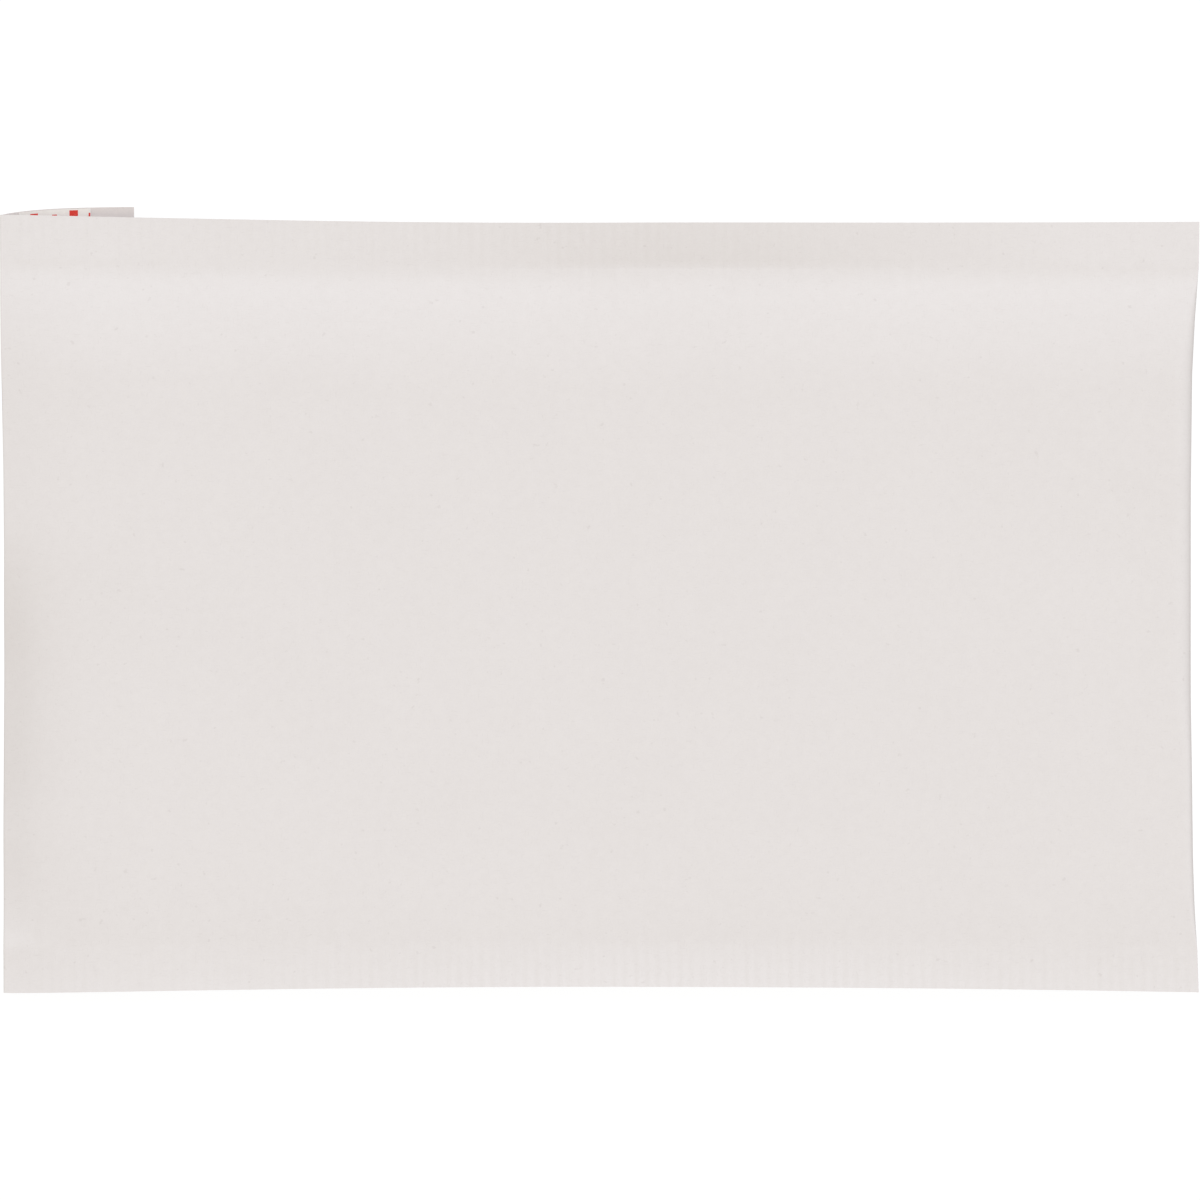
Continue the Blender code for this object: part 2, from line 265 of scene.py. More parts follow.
# The two tones that a material varies between, and the plain colours
PAPER_TONES = ((0.807, 0.767, 0.747), (0.735, 0.692, 0.671))
# The inside tones give the sheet's inner side its pinker tone and also paint shade on it: they are
# darker than the outside ones.
INSIDE_SHADED_TONES = ((0.778, 0.710, 0.678), (0.708, 0.638, 0.608))
LINER_TONES = ((0.885, 0.838, 0.787), (0.845, 0.798, 0.747))
INK_TONES = ((0.70, 0.035, 0.022), (0.76, 0.12, 0.09))
GLUE_TONES = ((0.80, 0.74, 0.60), (0.72, 0.65, 0.49))
LINER_COLOUR = (0.86, 0.83, 0.80)
GLUE_COLOUR = (0.78, 0.72, 0.58)
FILM_COLOUR = (0.80, 0.82, 0.83)

# How strongly the paper's marks darken it and raise its surface
FIBRE_DEPTH = 0.36
GRAIN_DEPTH = (0.03, 0.21)
MOTTLE_DEPTH = (0.02, 0.19)
CLOUD_DEPTH = (-0.05, 0.02)
SPECK_DEPTH = 0.85
GRAIN_RELIEF = 0.35
FIBRE_RELIEF = -0.25
COCKLE_RELIEF = 0.8

# The parts of a noise's range that its marks are taken from, and the heights of the reliefs
NOISE_SPAN = (0.3, 0.7)
CLOUD_SPAN = (0.35, 0.65)
SPECK_SPAN = (0.69, 0.78)
WEAR_SPAN = (0.55, 0.75)
FIBRE_SPAN = (0.60, 0.74)
CROSS_FIBRE_SPAN = (0.61, 0.75)
PAPER_RELIEF = 0.00002
LINER_RELIEF = 0.00001
GLUE_RELIEF = 0.00005
FILM_RELIEF = 0.0001

# Floor and light
WHITE = (1.0, 1.0, 1.0, 1.0)
FLOOR_HALF = 6.0
FLOOR_DROP = 0.0003
FLOOR_GLOW = 0.955
FLOOR_FAINT = (0.10, 0.10, 0.10, 1.0)
FLOOR_GREY = (0.38, 0.38, 0.38, 1.0)
WORLD_COLOUR = (1.058, 1.0, 0.907, 1.0)
WORLD_STRENGTH = 0.65
KEY_COLOUR = (0.89, 1.0, 1.18)
KEY_STRENGTH = 1.38
KEY_ANGLE = math.radians(35.0)
KEY_FROM = (0.26, 0.75, 1.0)

# Picture: FRAME_WIDTH is what it shows at the height FRAME_PLANE
FRAME_WIDTH = 0.4066
FRAME_PLANE = 0.006
LENS = 200.0
SENSOR = 36.0
CLIP_END = 20.0


def smooth(value):
    """Ease from 0 to 1 with level ends."""
    clipped = np.clip(value, 0.0, 1.0)
    return clipped * clipped * (3.0 - 2.0 * clipped)


def half_width(x):
    """Half of the width at x."""
    square = (x / HALF_LENGTH) ** 2
    mouth = (MOUTH_WIDTH - WAIST_WIDTH) * (MOUTH_FLARE * square - (MOUTH_FLARE - 1.0) * square ** 2)
    closed = (CLOSED_WIDTH - WAIST_WIDTH) * square
    return (WAIST_WIDTH + np.where(x > 0, closed, mouth)) / 2


def centre_y(x):
    """Y of the middle between the long edges, which run slightly askew."""
    return CENTRE_Y + np.where(x > 0, -CLOSED_SHIFT, MOUTH_SHIFT) * (x / HALF_LENGTH) ** 2


class Rows:
    """Lines along the mailer: columns of numbers, one for each row, so that they broadcast over x.

    A row lies at its share of the way from the near seam to the far seam, moved by its offset. Full
    is its share of the padding's height. The curls run from 0 to 1 outwards across their seams.
    """

    def __init__(self, share, offset, full, near_curl, far_curl):
        self.share = np.array(share)[:, None]
        self.offset = np.array(offset)[:, None]
        self.full = np.array(full)[:, None]
        self.near_curl = np.array(near_curl)[:, None]
        self.far_curl = np.array(far_curl)[:, None]

    def pick(self, numbers):
        """Some of the rows."""
        columns = (self.share, self.offset, self.full, self.near_curl, self.far_curl)
        return Rows(*[column[numbers, 0] for column in columns])

    def y(self, x):
        """Y of the rows at x."""
        edge = half_width(x)
        near = -edge + NEAR_SEAM
        far = edge - FAR_SEAM
        return near + (far - near) * self.share + self.offset + centre_y(x)


def slope_profile(slope, start, decay):
    """Distances inside a seam, and the share of the padding's height that is reached at each."""
    distance = np.linspace(0.0, slope, PROFILE_STEPS)
    steepness = smooth(distance / start) * np.exp(-distance / decay)
    steepness = steepness * smooth(SLOPE_LEVELLING * (1.0 - distance / slope))
    height = np.cumsum(steepness)
    return distance, height / height[-1]


FAR_PROFILE = slope_profile(FAR_SLOPE, FAR_SLOPE_START, FAR_SLOPE_DECAY)
NEAR_PROFILE = slope_profile(NEAR_SLOPE, NEAR_SLOPE_START, NEAR_SLOPE_DECAY)


def near_row(inset):
    """Numbers of a row on the near slope, by its distance inside the seam."""
    return 0.0, inset, np.interp(inset, *NEAR_PROFILE), 0.0, 0.0


def panel_row(share):
    """Numbers of a row between the slopes, by its share of the way to the far one."""
    return share, (1.0 - share) * NEAR_SLOPE - share * FAR_SLOPE, 1.0, 0.0, 0.0


def far_row(inset):
    """Numbers of a row on the far slope, by its distance inside the seam."""
    return 1.0, -inset, np.interp(inset, *FAR_PROFILE), 0.0, 0.0


def slope_insets(slope):
    """Distances of a slope's rows inside its seam, closest together beside the seam."""
    return [*FINE_SLOPE, *np.arange(FINE_SLOPE[-1] + ROW_STEP, slope, ROW_STEP)]


def make_rows():
    """Rows from the near edge to the far edge, and how many at each side have the fine columns."""
    rows = []
    for step in range(SEAM_ROWS, -1, -1):
        out = step / SEAM_ROWS
        rows.append((0.0, -NEAR_SEAM * out, 0.0, out, 0.0))
    rows += [near_row(inset) for inset in slope_insets(NEAR_SLOPE)]
    count = int(PANEL_WIDTH / PANEL_ROW_STEP)
    rows += [panel_row(step / count) for step in range(count + 1)]
    rows += [far_row(inset) for inset in reversed(slope_insets(FAR_SLOPE))]
    for step in range(SEAM_ROWS + 1):
        out = step / SEAM_ROWS
        rows.append((1.0, FAR_SEAM * out, 0.0, 0.0, out))
    fine = SEAM_ROWS + 1 + len(FINE_SLOPE)
    return Rows(*zip(*rows)), fine


def rows_at(insets):
    """Rows that lie these distances inside the near seam's inner edge at mid-length."""
    columns = []
    for inset in insets:
        if inset < NEAR_SLOPE:
            columns.append(near_row(inset))
        elif inset > BETWEEN_SEAMS - FAR_SLOPE:
            columns.append(far_row(BETWEEN_SEAMS - inset))
        else:
            columns.append(panel_row((inset - NEAR_SLOPE) / PANEL_WIDTH))
    return Rows(*zip(*columns))


def near_share(rows):
    """Where the rows lie at mid-length, from 0 at the far edge to 1 at the near edge."""
    return 0.5 - (rows.y(np.zeros(1)) - CENTRE_Y) / WAIST_WIDTH


def near_part(rows):
    """1 in the near part of the closed end, where its rounding is tighter and squarer, else 0."""
    return smooth((near_share(rows) - END_EASE_START) / END_EASE_RUN)


def drawn_in(rows, edge):
    """How far an end is drawn in at the rows."""
    shares, distances = np.array(edge).T
    return np.interp(near_share(rows), shares, distances / 1000.0)


def fold_x(rows):
    """X of the line that the flap is folded along, before the padding draws it in."""
    return -HALF_LENGTH + MOUTH_SKEW * near_share(rows)


def left_x(rows):
    """X of the mouth fold's outermost line."""
    return -HALF_LENGTH + drawn_in(rows, MOUTH_EDGE)


def lip_x(rows):
    """X of the back panel's free edge."""
    return left_x(rows) + MOUTH_RADIUS + LIP_BACK


def end_round(rows):
    """Length of the closed end's rounding."""
    return PAPER + END_ROUND * (1.0 - END_EASE * near_part(rows)) * rows.full


def end_x(rows):
    """X where the closed end's rounding starts."""
    return HALF_LENGTH - drawn_in(rows, CLOSED_EDGE) - end_round(rows)


def lift(x):
    """Height of the back panel's outside over the table."""
    return LIFT * (1.0 - smooth((x + HALF_LENGTH - FLAP_LENGTH - FLAP_ROOM) / LIFT_RUN))


def crown(rows, x):
    """Height of the front panel's outside over the padding."""
    ease = 1.0 - FAR_MOUTH_EASE * smooth((rows.share - EASE_START) / EASE_RUN)
    ease = ease - NEAR_MOUTH_EASE * smooth(1.0 - rows.share / NEAR_EASE_RUN)
    distance = np.maximum(x - lip_x(rows), 0.0)
    return THICKNESS - MOUTH_DROP * ease * np.exp(-distance / MOUTH_DECAY)


def bulge(settings, x):
    """Height of a curl at x."""
    centre, reach, height = settings
    return height * np.exp(-((x - centre) / reach) ** 2)


def curl(rows, x):
    """Rise of the seams towards their outer edges."""
    droop = FAR_DROOP * smooth((np.abs(x) - DROOP_START) / DROOP_RUN)
    eased = 1.0 - FAR_BULGE_EASE * rows.far_curl
    far = rows.far_curl * (eased * bulge(FAR_BULGE, x) - droop)
    near = rows.near_curl ** NEAR_BULGE_POWER * bulge(NEAR_BULGE, x)
    return far + near + NEAR_LIP * rows.near_curl ** NEAR_LIP_POWER


def seam_middle(rows, x):
    """Height of the plane between the two sheets in a seam."""
    full_height = NEAR_SEAM_HEIGHT + (FAR_SEAM_HEIGHT - NEAR_SEAM_HEIGHT) * rows.share
    distance = np.maximum(x - lip_x(rows), 0.0)
    start_height = MOUTH_SEAM_HEIGHT + (MOUTH_RADIUS - MOUTH_SEAM_HEIGHT) * rows.share
    height = full_height + (start_height - full_height) * np.exp(-distance / SEAM_DECAY)
    return height + curl(rows, x) + rows.share * bulge(FAR_RISE, x)


def rib_numbers():
    """Strength and fading length of each rib, drawn once for the whole mailer."""
    draw = np.random.default_rng(RIB_SEED)
    count = int(2 * HALF_LENGTH / RIB_PITCH) + RIB_SPARES
    strength = draw.uniform(*RIB_STRENGTHS, (2, count))
    fade = draw.uniform(*RIB_FADE, (2, count))
    return strength, fade


RIB_STRENGTH, RIB_LENGTH = rib_numbers()


def ribs(rows, x):
    """Relief of the crimp, which fades out on the slopes beside the seams."""
    place = (x + HALF_LENGTH) / RIB_PITCH
    number = np.clip(np.round(place).astype(int), 0, RIB_STRENGTH.shape[1] - 1)
    far_side = rows.share > 0.5
    strength = np.where(far_side, RIB_STRENGTH[1][number], RIB_NEAR_GAIN * RIB_STRENGTH[0][number])
    length = np.where(far_side, RIB_LENGTH[1][number], RIB_LENGTH[0][number])
    out = rows.near_curl + rows.far_curl
    strength = strength * (RIB_INNER + (1.0 - RIB_INNER) * out)
    mouth_end = np.where(far_side, RIB_FAR_ENDS[0], RIB_NEAR_ENDS[0])
    closed_end = np.where(far_side, RIB_FAR_ENDS[1], RIB_NEAR_ENDS[1])
    ends = np.where(x > RIB_CENTRE, closed_end, mouth_end)
    strength = strength * (ends + (1.0 - ends) * np.exp(-((x - RIB_CENTRE) / RIB_REACH) ** 2))
    fading = np.exp(-(np.maximum(slope_inset(rows), 0.0) / length) ** 2)
    return RIB_HEIGHT / 2 * strength * fading * np.cos(2 * math.pi * place)


def slope_inset(rows):
    """Distance inside the nearer seam, or far away from both on the panel."""
    inset = np.where(rows.share > 0.5, -rows.offset, rows.offset)
    return np.where((rows.share > 0.0) & (rows.share < 1.0), HALF_LENGTH, inset)


def wave(along, across, phase, x, y):
    """A wave that runs over the paper."""
    return np.sin(along * x + across * y + phase)


def waves(x, y):
    """Slight unevenness of the paper over its padding."""
    broad = 0.0
    for strength, one, other in BROAD_WAVES:
        broad = broad + strength * wave(*one, x, y) * wave(*other, x, y)
    small = wave(*SMALL_BENT_WAVE, SMALL_BEND * broad, x, y) * wave(*SMALL_PLAIN_WAVE, x, y)
    return BROAD_HEIGHT * broad + SMALL_HEIGHT * small


def slope_wrinkles(rows, x):
    """Short wrinkles that run from the seams up the slopes."""
    inset = slope_inset(rows)
    change = np.sin(WRINKLE_REACH_WAVE * x + WRINKLE_REACH_PHASE * rows.share)
    reach = WRINKLE_REACH + WRINKLE_REACH_CHANGE * change
    fading = np.where(inset > 0.0, np.exp(-((inset - WRINKLE_INSET) / reach) ** 2), 0.0)
    side = WRINKLE_SIDE_PHASE * rows.share
    coarse = np.sin(WRINKLE_COARSE_WAVE * x + side + WRINKLE_BEND * np.sin(WRINKLE_BEND_WAVE * x))
    fine = np.sin(WRINKLE_FINE_WAVE * x + 3 * side + WRINKLE_FINE_PHASE)
    return WRINKLE_HEIGHT * fading * (coarse + WRINKLE_FINE_SHARE * fine)


def hollows(x, y):
    """Handling hollows and soft creases of the front panel."""
    relief = np.zeros(np.broadcast(x, y).shape)
    for middle_x, middle_y, reach_x, reach_y, deepest in HOLLOWS:
        away = ((x - middle_x) / reach_x) ** 2 + ((y - middle_y) / reach_y) ** 2
        relief -= deepest * np.exp(-away)
    for start_x, start_y, stop_x, stop_y, half, height in CREASES:
        run_x = stop_x - start_x
        run_y = stop_y - start_y
        length = math.hypot(run_x, run_y)
        along = ((x - start_x) * run_x + (y - start_y) * run_y) / length ** 2
        aside = ((x - start_x) * run_y - (y - start_y) * run_x) / length
        ends = smooth(along * CREASE_FADING) * smooth((1.0 - along) * CREASE_FADING)
        relief += height * ends * np.exp(-(aside / half) ** 2)
    return relief


def upper_z(rows, x):
    """Height of the front panel's outside."""
    y = rows.y(x)
    seam = seam_middle(rows, x) + PAPER
    over = crown(rows, x) + hollows(x, y) + waves(x, y)
    return (1.0 - rows.full) * seam + rows.full * over + ribs(rows, x) + slope_wrinkles(rows, x)


def lower_z(rows, x):
    """Height of the back panel's outside."""
    seam = seam_middle(rows, x) - PAPER
    return (1.0 - rows.full) * seam + rows.full * lift(x) + ribs(rows, x) * (1.0 - rows.full)


def line_points(x, y, z):
    """Points with these coordinates, as rows, columns and three numbers."""
    shape = np.broadcast(x, y, z).shape
    return np.stack([np.broadcast_to(value, shape) for value in (x, y, z)], axis=-1)


def places(rows, columns):
    """X of evenly spread columns from the lip to the closed end's rounding."""
    share = np.linspace(0.0, 1.0, columns + 1)[None, :]
    start = lip_x(rows)
    return start + share * (end_x(rows) - start)


def closed_fold(rows, depth):
    """The closed end's rounding, from the front panel to the back panel."""
    end = end_x(rows)
    high = upper_z(rows, end) - depth
    low = lower_z(rows, end) + depth
    angle = np.linspace(math.pi / 2, -math.pi / 2, FOLD_STEPS + 1)[None, :]
    power = END_POWER + (END_NEAR_POWER - END_POWER) * near_part(rows)
    out = np.abs(np.cos(angle)) ** power
    up = np.sign(angle) * np.abs(np.sin(angle)) ** power
    x = end + (end_round(rows) - depth) * out
    z = (high + low) / 2 + (high - low) / 2 * up
    return line_points(x, rows.y(end), z)


def flap_slide(distance):
    """How far the flap has slid towards the far side, at a distance from its fold."""
    return FLAP_SLIDE * (1.0 - np.exp(-distance / FLAP_SLIDE_RUN))


def bezier(start, first, second, stop, share):
    """Points of a cubic curve."""
    rest = 1.0 - share
    return (
        rest ** 3 * start + 3 * rest ** 2 * share * first
        + 3 * rest * share ** 2 * second + share ** 3 * stop
    )


def mouth_fold(rows, left, lip, high):
    """X and z of the mouth fold, from the table up to the front panel at the lip."""
    slope = (upper_z(rows, lip + GRADIENT_STEP) - high) / GRADIENT_STEP
    crease_z = high - (lip - left) * slope
    turn_z = TURN_SHARE * crease_z
    turn = np.linspace(0.0, 1.0, FOLD_STEPS + 1)[None, :]
    reach = np.minimum(TURN_REACH_SHARE * turn_z, TURN_REACH)
    turn_x = bezier(left + reach, left + TURN_HANDLE * reach, left, left, turn)
    turning_z = bezier(0.0 * high, 0.0 * high, TURN_HANDLE * turn_z, turn_z, turn)
    wall, bend, top = [np.linspace(0.0, 1.0, steps + 1)[None, 1:] for steps in CREASE_STEPS]
    wall_end = crease_z - CREASE_RADIUS
    wall_z = turn_z + (wall_end - turn_z) * wall
    bend_x = left + CREASE_RADIUS * bend ** 2
    bend_z = wall_end + CREASE_RADIUS * (2.0 * bend - bend ** 2) + CREASE_RADIUS * slope * bend ** 2
    top_x = left + CREASE_RADIUS + (lip - left - CREASE_RADIUS) * top
    top_z = crease_z + (top_x - left) * slope
    x = np.concatenate([turn_x, left + 0.0 * wall, bend_x, top_x], axis=1)
    z = np.concatenate([turning_z, wall_z, bend_z, top_z], axis=1)
    return x, z


def free_part(rows, depth):
    """The flap and the mouth fold, from the flap's free edge up to the front panel at the lip."""
    left = left_x(rows)
    lip = lip_x(rows)
    high = upper_z(rows, lip)
    bent_x, bent_z = mouth_fold(rows, left, lip, high)
    flap_share = np.linspace(1.0, 0.0, FLAP_STEPS + 1)[None, :-1]
    flap_start = bent_x[:, :1]
    flap_x = flap_start + (fold_x(rows) + FLAP_LENGTH - flap_start) * flap_share
    x = np.concatenate([flap_x, bent_x], axis=1)
    z = np.concatenate([np.zeros_like(flap_x), bent_z], axis=1)
    slide = flap_slide(x - left)
    lifted = smooth(z / high)
    edge_y = rows.y(-HALF_LENGTH * np.ones(1))
    y = (edge_y + slide) * (1.0 - lifted) + rows.y(lip) * lifted
    if depth:
        along_x = np.gradient(x, axis=1)
        along_z = np.gradient(z, axis=1)
        along_x[:, :FLAP_STEPS] = -1.0
        along_z[:, :FLAP_STEPS] = 0.0
        length = np.hypot(along_x, along_z)
        x = x + depth * along_z / length
        z = z - depth * along_x / length
        x[:, -1:] = lip
        z[:, -1:] = high - depth
    return line_points(x, y, z)


class Skin:
    """Collects the points and faces of one closed body."""

    def __init__(self):
        self.points = []
        self.faces = []
        self.count = 0

    def add(self, grid):
        """Add a grid of points and return the grid of their numbers."""
        numbers = np.arange(self.count, self.count + grid[..., 0].size).reshape(grid.shape[:-1])
        self.points.append(grid.reshape(-1, 3))
        self.count += numbers.size
        return numbers

    def weave(self, numbers):
        """Quads between the neighbours of a grid."""
        quads = np.stack(
            [numbers[:-1, :-1], numbers[1:, :-1], numbers[1:, 1:], numbers[:-1, 1:]], axis=-1
        )
        self.faces += quads.reshape(-1, 4).tolist()

    def strip(self, one, other):
        """Quads between two lines of the same length."""
        self.weave(np.array([one, other]))

    def widen(self, coarse, fine):
        """Triangles between a coarse line and one with FINE times its columns."""
        half = FINE // 2
        for number in range(len(coarse) - 1):
            first = number * FINE
            near, far = coarse[number], coarse[number + 1]
            for step in range(FINE):
                hub = near if step < half else far
                self.faces.append([hub, fine[first + step], fine[first + step + 1]])
            self.faces.append([near, fine[first + half], far])

    def build(self, name, materials, painted):
        """Make the object: merge the points where two surfaces meet and face everything outwards.
        The painted faces get another material than the first."""
        mesh = bpy.data.meshes.new(name)
        mesh.from_pydata(np.concatenate(self.points).tolist(), [], self.faces)
        for slot, faces in painted.items():
            for number in faces:
                mesh.polygons[number].material_index = slot
        body = bmesh.new()
        body.from_mesh(mesh)
        bmesh.ops.remove_doubles(body, verts=body.verts, dist=MERGE)
        unused = [vertex for vertex in body.verts if not vertex.link_faces]
        bmesh.ops.delete(body, geom=unused, context="VERTS")
        bmesh.ops.recalc_face_normals(body, faces=body.faces)
        body.to_mesh(mesh)
        body.free()
        for material in materials:
            mesh.materials.append(material)
        mesh.shade_smooth()
        mesh.set_sharp_from_angle(angle=SHARP_ANGLE)
        piece = bpy.data.objects.new(name, mesh)
        bpy.context.scene.collection.objects.link(piece)
        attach(piece, "root")
        return piece


def panel_surface(skin, rows, fine_rows, height):
    """One sheet's outside, with fine columns in and beside the seams. Returns the first point of
    each row, and the points of the near and the far edge."""
    count = len(rows.share)
    groups = (
        (range(0, fine_rows), COARSE_COLUMNS * FINE),
        (range(fine_rows, count - fine_rows), COARSE_COLUMNS),
        (range(count - fine_rows, count), COARSE_COLUMNS * FINE),
    )
    grids = []
    for numbers, columns in groups:
        part = rows.pick(list(numbers))
        x = places(part, columns)
        grid = skin.add(line_points(x, part.y(x), height(part, x)))
        skin.weave(grid)
        grids.append(grid)
    near, middle, far = grids
    skin.widen(middle[0], near[-1])
    skin.widen(middle[-1], far[0])
    starts = np.concatenate([grid[:, 0] for grid in grids])
    return starts, (near[0], far[-1])


def wrapper_paper(outside, inside_shaded):
    """One folded sheet: flap, mouth fold, front, closed end and back, pressed together in both seams."""
    rows, fine_rows = make_rows()
    count = len(rows.share)
    skin = Skin()
    front_edges = panel_surface(skin, rows, fine_rows, upper_z)[1]
    back_lip, back_edges = panel_surface(skin, rows, fine_rows, lower_z)
    fold = skin.add(closed_fold(rows, 0.0))
    skin.weave(fold)
    free = skin.add(free_part(rows, 0.0))
    skin.weave(free)
    outer_faces = len(skin.faces)
    free_inside = skin.add(free_part(rows, PAPER))
    skin.weave(free_inside)

    inner_rows = rows.pick(list(range(SEAM_ROWS, count - SEAM_ROWS)))
    x = places(inner_rows, COARSE_COLUMNS // INNER_EVERY)
    y = inner_rows.y(x)
    inner_front = skin.add(line_points(x, y, upper_z(inner_rows, x) - PAPER))
    inner_back = skin.add(line_points(x, y, lower_z(inner_rows, x) + PAPER))
    inner_fold = skin.add(closed_fold(inner_rows, PAPER))
    for grid in (inner_front, inner_back, inner_fold):
        skin.weave(grid)
    inner_faces = len(skin.faces)

    inner_lip = free_inside[:, -1]
    skin.strip(inner_back[:, 0], back_lip[SEAM_ROWS:count - SEAM_ROWS])
    skin.strip(inner_lip[:SEAM_ROWS + 1], back_lip[:SEAM_ROWS + 1])
    skin.strip(inner_lip[count - SEAM_ROWS - 1:], back_lip[count - SEAM_ROWS - 1:])
    skin.strip(free[:, 0], free_inside[:, 0])

    sides = zip((0, count - 1), (1, -1), front_edges, back_edges)
    for number, inwards, front_edge, back_edge in sides:
        skin.strip(free[number], free_inside[number])
        edge = rows.pick([number])
        x = places(edge, COARSE_COLUMNS * FINE)
        middle = (upper_z(edge, x) + lower_z(edge, x)) / 2
        groove = skin.add(line_points(x, edge.y(x) + inwards * SEAM_GROOVE, middle))[0]
        groove[0] = inner_lip[number]
        skin.strip(front_edge, groove)
        skin.strip(groove, back_edge)
        for first, second in zip(fold[number], fold[number][1:]):
            skin.faces.append([int(groove[-1]), int(first), int(second)])

    # The inner faces, the flap's among them, get the darker inside paper, whose darkness is painted
    # shade.
    piece = skin.build("wrapper_paper", [outside, inside_shaded], {1: range(outer_faces, inner_faces)})
    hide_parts("paper_wrapper")
    return piece


def print_bars(length):
    """The printed bars: their sides, by distance from the fold, and ends, from the far end."""
    bars = []
    for number, (start, width, top) in enumerate(PRINT_ROWS):
        place = top
        while place < length - PRINT_END:
            kind = (len(bars) * BAR_TURN + number) % BAR_KINDS
            size = BAR_LENGTH * (BAR_SHORTEST + BAR_STEP * kind)
            bars.append((start, start + width, place, place + size))
            place += size + BAR_GAP
    return bars


def release_liner(paper, ink):
    """The liner over the flap's adhesive, with generic bars printed on it."""
    edges = make_rows()[0].pick([0, -1])
    near_y, far_y = edges.y(-HALF_LENGTH * np.ones(1))[:, 0]
    near_left, far_left = fold_x(edges)[:, 0]
    length = far_y - near_y
    bars = print_bars(length)
    sides = {LINER_START, LINER_START + LINER_WIDTH, *[x for bar in bars for x in bar[:2]]}
    across = np.array(sorted(sides))
    ends = [place for bar in bars for place in bar[2:]]
    steps = np.arange(0.0, length, LINER_STEP)
    along = np.unique(np.round([*ends, *steps, length], LINER_DECIMALS))
    along = along[along <= length]
    middle_x, middle_down = np.meshgrid((across[1:] + across[:-1]) / 2, (along[1:] + along[:-1]) / 2)
    printed = np.zeros(middle_x.shape, bool)
    for start, stop, top, bottom in bars:
        printed |= (middle_x > start) & (middle_x < stop) & (middle_down > top) & (middle_down < bottom)
    x, down = np.meshgrid(across, along)
    from_far = LINER_INSET + (length - 2 * LINER_INSET) * down / length
    y = far_y - from_far + flap_slide(x)
    left = far_left + (near_left - far_left) * down / length
    outwards = np.abs(2.0 * (x - LINER_START) / LINER_WIDTH - 1.0)
    ripple = LINER_RIPPLE * np.sin(LINER_RIPPLE_WAVE * y) * outwards
    skin = Skin()
    high = skin.add(line_points(left + x, y, LINER_HIGH + ripple))
    low = skin.add(line_points(left + x, y, LINER_LOW + ripple))
    for grid in (high, low):
        skin.weave(grid)
    for rim in (np.s_[0], np.s_[-1], np.s_[:, 0], np.s_[:, -1]):
        skin.strip(low[rim], high[rim])
    piece = skin.build("release_liner_sheet", [paper, ink], {1: np.flatnonzero(printed).tolist()})
    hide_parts("release_liner")
    return piece


def web_surface(rows, depth, side):
    """The bubble web's surface, along the front, round the closed end and along the back."""
    share = np.linspace(0.0, 1.0, WEB_COLUMNS + 1)[None, :]
    start = lip_x(rows) + LINING_BACK
    x = start + share * (end_x(rows) - start)
    y = rows.y(x)
    front = line_points(x, y, upper_z(rows, x) - depth)
    back = line_points(x, y, lower_z(rows, x) + depth)[:, ::-1]
    surface = np.concatenate([front, closed_fold(rows, depth)[:, 1:-1], back], axis=1)
    surface[0, :, 1] += side
    surface[-1, :, 1] -= side
    return surface


def bubbles(insets):
    """The bubbles of both walls, on their inner sides: the rings and the tip of each one."""
    turn = np.linspace(0.0, 2 * math.pi, BUBBLE_SIDES, endpoint=False)
    rings = [(radius, level, angle) for radius, level in BUBBLE_PROFILE for angle in turn]
    radius, level, angle = np.array([*rings, (0.0, 1.0, 0.0)]).T[:, :, None]
    aside = BUBBLE_RADIUS * radius * np.sin(angle)
    along = BUBBLE_RADIUS * radius * np.cos(angle)
    base = PAPER + CLEARANCE + FILM / 2
    shells = []
    for number, inset in enumerate(insets):
        rows = rows_at(inset + aside[:, 0])
        first = lip_x(rows).max() + BUBBLE_PITCH * (BUBBLE_START + BUBBLE_SHIFT * (number % 2))
        centres = np.arange(first, end_x(rows).min() - BUBBLE_RADIUS, BUBBLE_PITCH)
        x = centres[None, :] + along
        y = rows.y(x)
        top = upper_z(rows, x)
        bottom = lower_z(rows, x)
        rise = level * np.clip((top - bottom - POCKET_GAP) / 2 - base, 0.0, BUBBLE_HEIGHT)
        for z in (top - base - rise, bottom + base + rise):
            points = line_points(x, y, z).transpose(1, 0, 2)
            shells += [shell for shell, high in zip(points, rise[-1]) if high > BUBBLE_LEAST]
    return shells


def bubble_web(film):
    """The lining: one web of bubble film folded in a U and sealed along its sides."""
    rows = make_rows()[0]
    kept = range(SEAM_ROWS + WEB_MARGIN, len(rows.share) - SEAM_ROWS - WEB_MARGIN)
    rows = rows.pick(list(kept))
    skin = Skin()
    grids = []
    for depth, side in ((PAPER + CLEARANCE, 0.0), (PAPER + CLEARANCE + FILM, FILM)):
        grid = skin.add(web_surface(rows, depth, side))
        skin.weave(grid)
        for line in (grid[0], grid[-1]):
            half = len(line) // 2
            skin.strip(line[:half], line[::-1][:half])
        grids.append(grid)
    outer, inner = grids
    for column in (0, -1):
        skin.strip(outer[:, column], inner[:, column])
    for number in (0, -1):
        corner = (outer[number, 0], inner[number, 0], inner[number, -1], outer[number, -1])
        skin.faces.append([int(point) for point in corner])

    step = BUBBLE_PITCH * BUBBLE_ROW_SHARE
    count = int((BETWEEN_SEAMS - 2 * BUBBLE_PITCH) / step)
    margin = (BETWEEN_SEAMS - count * step) / 2
    for shell in bubbles(margin + step * np.arange(count + 1)):
        numbers = skin.add(shell)
        tip = int(numbers[-1])
        rings = numbers[:-1].reshape(len(BUBBLE_PROFILE), BUBBLE_SIDES)
        loops = np.concatenate([rings, rings[:, :1]], axis=1)
        skin.weave(loops)
        skin.faces += [[int(first), int(second), tip] for first, second in zip(loops[-1], loops[-1][1:])]
        skin.faces.append([int(point) for point in rings[0]])
    piece = skin.build("bubble_web", [film], {})
    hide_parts("bubble_lining")
    return piece


def new_node(tree, kind, values):
    """A node with these values on its sockets."""
    node = tree.nodes.new(kind)
    for name, value in values.items():
        node.inputs[name].default_value = value
    return node


